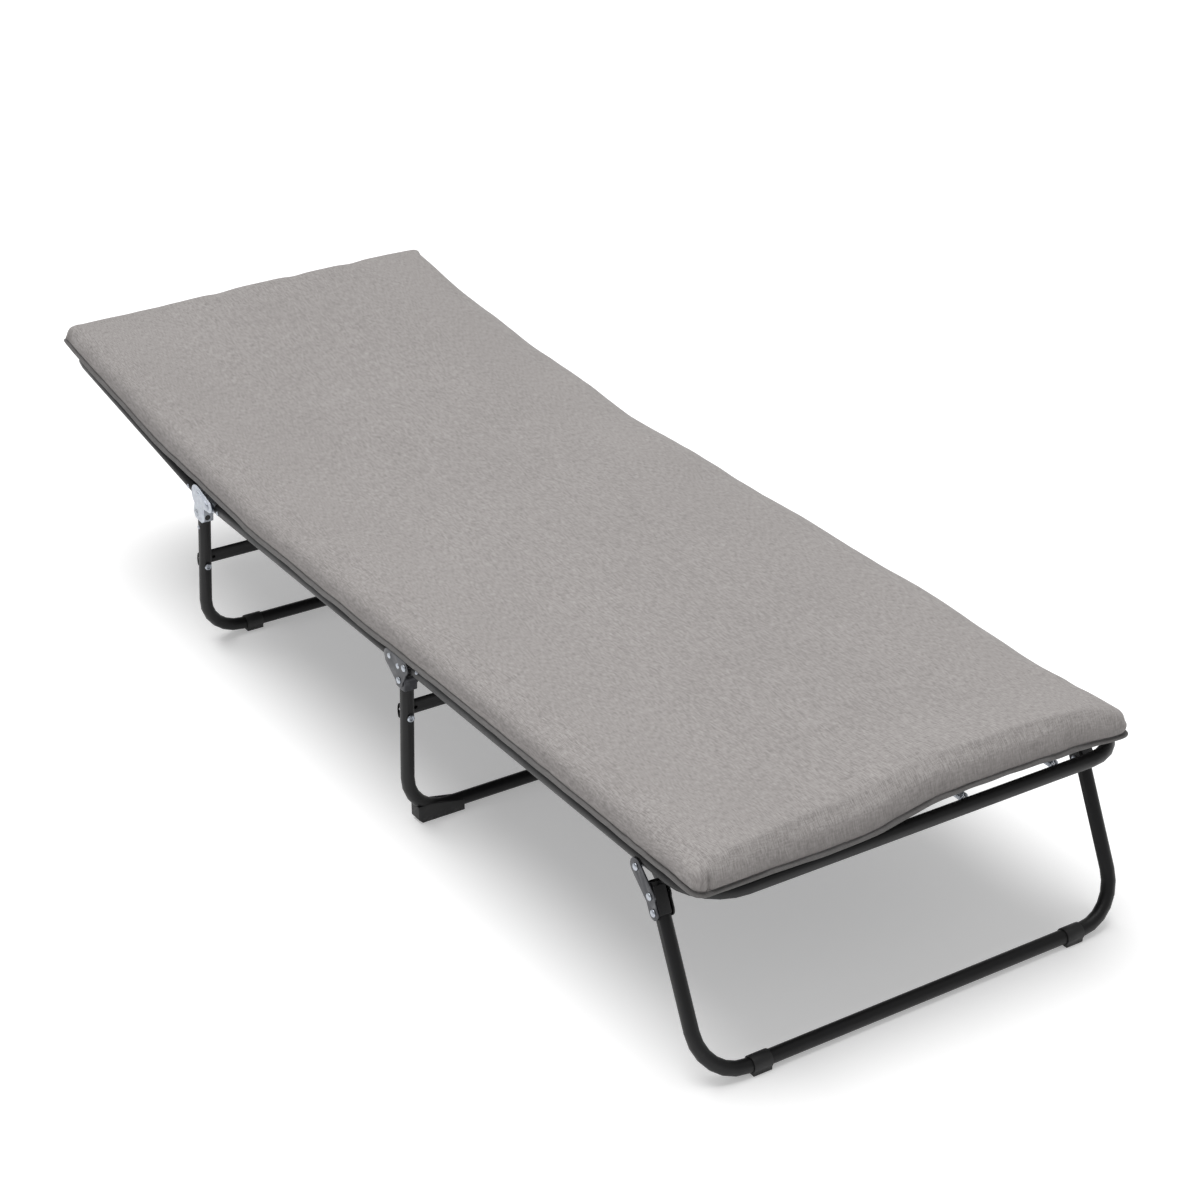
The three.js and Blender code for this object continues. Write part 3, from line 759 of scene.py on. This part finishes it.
def springs_of(name, body, start, end):
    """Springs down both sides of a section, and across its free end if it has one."""
    margin = 0.05
    spacing = 0.105
    count = round((end - start - 2 * margin) / spacing) + 1
    shapes = []
    for _, side in SIDES:
        for step in range(count):
            along = start + margin + (end - start - 2 * margin) * step / (count - 1)
            shapes.append(spring(raised(side * (rail_x - tube_radius + 0.001), along),
                                 raised(side * (deck_half_width - hem_width / 3), along)))
    if name != "middle":
        for step in range(4):
            x = (step - 1.5) * 0.15
            tube_y = foot_end_y + tube_radius if name == "foot" else head_end - tube_radius
            hem_y = start + hem_width / 3 if name == "foot" else end - hem_width / 3
            shapes.append(spring(raised(x, tube_y), raised(x, hem_y)))
    piece = add_piece(f"suspension_springs_{name}", *gather(shapes), "zinc_steel", body)
    if name == "foot":
        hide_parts(*(f"foot_spring_{number}" for number in range(1, 5)))


for section, (its_body, deck_start, deck_end) in DECKS.items():
    springs_of(section, its_body, deck_start, deck_end)
    deck_panel(section, its_body, deck_start, deck_end)


# ---- small steel and plastic fittings ----
PLATE_FACE = 0.0126      # a hinge plate's outer face from the rail's centre line
STAMPED = 0.0018         # thickness of the ratchet housing's sheet
PRESSED_RIB = 0.0009     # how far its rib stands out
SUNK = 0.0002            # how deep a rivet's head sits in its face
SMALL_RIVET = 0.0034
CUP_REACH = 0.0104       # half the width of a leg's cup


def hull_of_circles(circles, steps=32):
    """The outline, as (y, z) points, of a band stretched round circles given as (y, z, radius)."""
    points = []
    for y, z, radius in circles:
        for step in range(steps):
            turn = 2 * math.pi * step / steps
            points.append((y + radius * math.cos(turn), z + radius * math.sin(turn)))
    points = sorted(points)
    chains = []
    for ordered in (points, points[::-1]):
        chain = []
        for point in ordered:
            while len(chain) > 1 and turns_right(chain[-2], chain[-1], point):
                chain.pop()
            chain.append(point)
        chains.append(chain[:-1])
    return chains[0] + chains[1]


def turns_right(first, second, third):
    across = (second[0] - first[0]) * (third[1] - first[1])
    back = (second[1] - first[1]) * (third[0] - first[0])
    return across - back <= 1e-9


def pressed_plate(circles, from_x, to_x, place):
    """A plate with that outline between two planes across X, put in the cot's frame by place."""
    outline = hull_of_circles(circles)
    count = len(outline)
    vertices = [place(Vector((x, y, z))) for x in sorted((from_x, to_x)) for y, z in outline]
    faces = []
    for step in range(count):
        follow = (step + 1) % count
        faces.append((step, step + count, follow + count, follow))
    faces.append(tuple(range(count)))
    faces.append(tuple(reversed(range(count, 2 * count))))
    return vertices, faces


def soften(piece, width):
    """Rounds the sharp edges of a stamped or moulded piece and shades it smooth between them."""
    edges = piece.modifiers.new("edges", "BEVEL")
    edges.width = width
    edges.segments = 3
    edges.limit_method = "ANGLE"
    edges.angle_limit = math.radians(40)
    piece.modifiers.new("smooth", "NODES").node_group = bpy.data.node_groups["smooth_by_angle"]
    return piece


def at_point(origin, tilt=0.0):
    """A function that tilts local coordinates about X and moves them to origin's place in the cot."""
    def place(local):
        y = local.y * math.cos(tilt) - local.z * math.sin(tilt)
        z = local.y * math.sin(tilt) + local.z * math.cos(tilt)
        return Vector((local.x, origin.y + y, origin.z + z))
    return place


def leg_tilt(name):
    """How far a leg leans from upright, from its tube's lowest and outermost points."""
    low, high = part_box(f"{name}_leg_tube")
    pivot = Vector(joints[f"{name}_leg_fold"]["pos_m"])
    return math.atan2(high.y - tube_radius - pivot.y, pivot.z - low.z - tube_radius)


def domed_head(place, spot, way, radius=0.0042, height=0.0018):
    """A rivet's head: a low dome with a crisp rim, on a face at a local spot, pointing along way."""
    profile = [(radius, -0.0006), (radius, 0.25 * height), (0.86 * radius, 0.55 * height),
               (0.55 * radius, 0.88 * height), (0.2 * radius, height), (0.01 * radius, height)]
    base = place(Vector(spot))
    direction = place(Vector(spot) + Vector(way)) - base
    return turned(profile, base, direction.normalized())


def ring_bolt(place, spot, way):
    """A crossbar bolt's head: a flanged ring with a socket and a raised middle."""
    flange = [(0.0056, 0.0), (0.0056, 0.0012), (0.0048, 0.0026), (0.0036, 0.0028)]
    socket = [(0.0028, 0.0022), (0.0027, 0.0007), (0.0015, 0.0006), (0.0013, 0.0016), (0.0002, 0.0018)]
    base = place(Vector(spot))
    direction = place(Vector(spot) + Vector(way)) - base
    shank = [(0.0024, -0.02), (0.0024, 0.0)]
    return turned(shank + flange + socket, base, direction.normalized())


def add_ratchets():
    """Stamped ratchet housings on the rails' outer faces, with the rivets that close them."""
    place = at_point(back_axis)
    for name, side in SIDES:
        face = side * (rail_x + PLATE_FACE)
        along_rail = [(0.002, 0.006, 0.018), (-0.042, 0.003, 0.0095)]
        over_leg = [(-0.004, 0.0, 0.017), (-0.010, -0.024, 0.011)]
        rib = [(-0.003, 0.008, 0.0095), (-0.034, 0.001, 0.006)]
        shapes = [pressed_plate(along_rail, face, face + side * STAMPED, place),
                  pressed_plate(over_leg, face, face + side * 0.8 * STAMPED, place),
                  pressed_plate(rib, face, face + side * (STAMPED + PRESSED_RIB), place)]
        rivet_x = face + side * (STAMPED + 0.0006)
        for y, z in ((-0.005, 0.0125), (-0.034, 0.0025)):
            shapes.append(domed_head(place, (rivet_x, y, z), (side, 0, 0)))
        soften(add_piece(f"ratchet_housing_{name}", *gather(shapes), "zinc_steel", "middle_section"), 0.0006)


def add_leg_cups():
    """Stamped knuckles over the tops of the head and middle legs, with the head leg's plug and rivet."""
    for leg, slot in (("head", "zinc_steel"), ("middle", "dark_steel")):
        place = at_point(Vector(joints[f"{leg}_leg_fold"]["pos_m"]), leg_tilt(leg))
        knuckle = [(0, 0, 0.0122), (0.0, -0.003, 0.0122),
                   (0.0107, -0.013, 0.0015), (-0.0107, -0.013, 0.0015)]
        for name, side in SIDES:
            inner, outer = side * (rail_x - CUP_REACH), side * (rail_x + CUP_REACH)
            shape = pressed_plate(knuckle, inner, outer, place)
            cup = add_piece(f"{leg}_leg_cup_{name}", *shape, slot, f"{leg}_leg")
            soften(cup, 0.0022)
            if leg == "head":
                plug = domed_head(place, (side * rail_x, -0.0118, -0.0065), (0, -1, 0), 0.0052, 0.0009)
                add_piece(f"head_leg_plug_{name}", *plug, "black_plastic", "head_leg")
                spot = (side * (rail_x + tube_radius - SUNK), 0, -0.028)
                rivet = domed_head(place, spot, (side, 0, 0), SMALL_RIVET)
                add_piece(f"head_leg_rivet_{name}", *rivet, "zinc_steel", "head_leg")


def add_crossbar_bolts():
    for leg in ("head", "middle"):
        tilt = leg_tilt(leg)
        for name, side in SIDES:
            node = f"{leg}_leg_crossbar_bolt_{name}"
            low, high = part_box(node)
            centre = (low + high) / 2
            place = at_point(centre, tilt)
            half_length = (high.y - low.y) / 2 / math.cos(tilt)
            bolt = ring_bolt(place, (side * rail_x, 0.0028 - half_length, 0), (0, -1, 0))
            piece = add_piece(f"{leg}_leg_ring_bolt_{name}", *bolt, "zinc_steel", f"{leg}_leg")
            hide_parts(node)


def add_fold_rivets():
    """The extra rivets of the foot fold's hinge plates, and the screws that hold the foot rails' tongues."""
    place = at_point(fold_axis)
    for name, side in SIDES:
        face = side * (rail_x + PLATE_FACE - SUNK)
        spots = ((0.042, 0.001), (0.018, -0.0045))
        fixed = [domed_head(place, (face, y, z), (side, 0, 0)) for y, z in spots]
        add_piece(f"fold_hinge_rivets_{name}", *gather(fixed), "zinc_steel", "middle_section")
        around = math.radians(35)
        spot = (side * (rail_x + tube_radius * math.cos(around)), -0.029, tube_radius * math.sin(around))
        screw = domed_head(place, spot, (side * math.cos(around), 0, math.sin(around)), SMALL_RIVET)
        add_piece(f"fold_hinge_screw_{name}", *screw, "zinc_steel", "foot_section")


def add_rail_rivets():
    """Rivets that hold the ratchet arms in the rails."""
    level = at_point(back_axis)
    tilted = at_point(back_axis, back_tilt)
    rail_end = back_axis.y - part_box("middle_rail_left")[1].y
    for name, side in SIDES:
        outer = side * (rail_x + tube_radius - SUNK)
        middle = domed_head(level, (outer, -rail_end - 0.012, -0.001), (side, 0, 0), SMALL_RIVET)
        add_piece(f"middle_rail_rivet_{name}", *middle, "zinc_steel", "middle_section")
        head = domed_head(tilted, (outer, 0.042, 0), (side, 0, 0), SMALL_RIVET)
        add_piece(f"head_rail_rivet_{name}", *head, "zinc_steel", "backrest")


def add_foot_channels():
    """The web that joins each foot leg bracket's two cheeks across the front of the leg."""
    first = middle_of("foot_leg_rivet_1_left")
    second = middle_of("foot_leg_rivet_2_left")
    tilt = math.atan2(second.y - first.y, first.z - second.z)
    place = at_point(Vector((0, first.y, first.z)), tilt)
    thickness = 0.0015
    front = -tube_radius - 0.0004
    for name, side in SIDES:
        centre = front - thickness / 2
        web = [(centre, 0.012, thickness / 2), (centre, -0.024, thickness / 2)]
        inner, outer = side * (rail_x - 0.0065), side * (rail_x + 0.0106)
        shape = pressed_plate(web, inner, outer, place)
        channel = add_piece(f"foot_leg_channel_{name}", *shape, "black_paint", "foot_leg")
        soften(channel, 0.0005)


add_ratchets()
add_leg_cups()
add_crossbar_bolts()
add_fold_rivets()
add_rail_rivets()
add_foot_channels()


# ---- floor, light and camera ----
def make_floor():
    """A pale studio floor, lit a little from within so that the cot's shadow stays light."""
    size = 80
    glow = 0.30
    make = Shader("studio_floor")
    tone = make.mix(make.noise(make.place(), 3, 2), (0.86, 0.86, 0.86), (0.88, 0.88, 0.88))
    corners = [(-size, -size, 0), (size, -size, 0), (size, size, 0), (-size, size, 0)]
    material = make.finish(Base_Color=tone, Roughness=0.9, Emission_Color=(1, 1, 1, 1),
                           Emission_Strength=glow)
    floor = new_object("floor", corners, [(0, 1, 2, 3)], material)


def make_light():
    """A soft key from overhead, a little towards the head end, over an even white surround."""
    world = bpy.data.worlds.new("studio")
    scene.world = world
    world.use_nodes = True
    background = world.node_tree.nodes["Background"]
    background.inputs["Color"].default_value = (1, 1, 1, 1)
    background.inputs["Strength"].default_value = 0.40
    key = bpy.data.lights.new("key", "SUN")
    key.energy = 2.5
    key.angle = math.radians(50)
    key_object = bpy.data.objects.new("key", key)
    key_object.rotation_euler = Vector((0.06, -0.26, -1)).to_track_quat("-Z", "Y").to_euler()
    scene.collection.objects.link(key_object)
    scene.view_settings.view_transform = "Standard"


def make_camera():
    """The camera looks from beyond the foot end, left of it and from above."""
    azimuth = math.radians(32.89)
    elevation = math.radians(27.0)
    distance = 3.831
    target = fold_axis + Vector((0.007, 0.057, -0.018))
    back = Vector((-math.sin(azimuth) * math.cos(elevation), -math.cos(azimuth) * math.cos(elevation),
                   math.sin(elevation)))
    data = bpy.data.cameras.new("camera")
    data.sensor_width = 36
    data.lens = 78.85
    camera = bpy.data.objects.new("camera", data)
    camera.rotation_mode = "QUATERNION"
    camera.location = target + back * distance
    camera.rotation_quaternion = (-back).to_track_quat("-Z", "Y")
    scene.collection.objects.link(camera)
    scene.camera = camera


make_floor()
make_light()
make_camera()
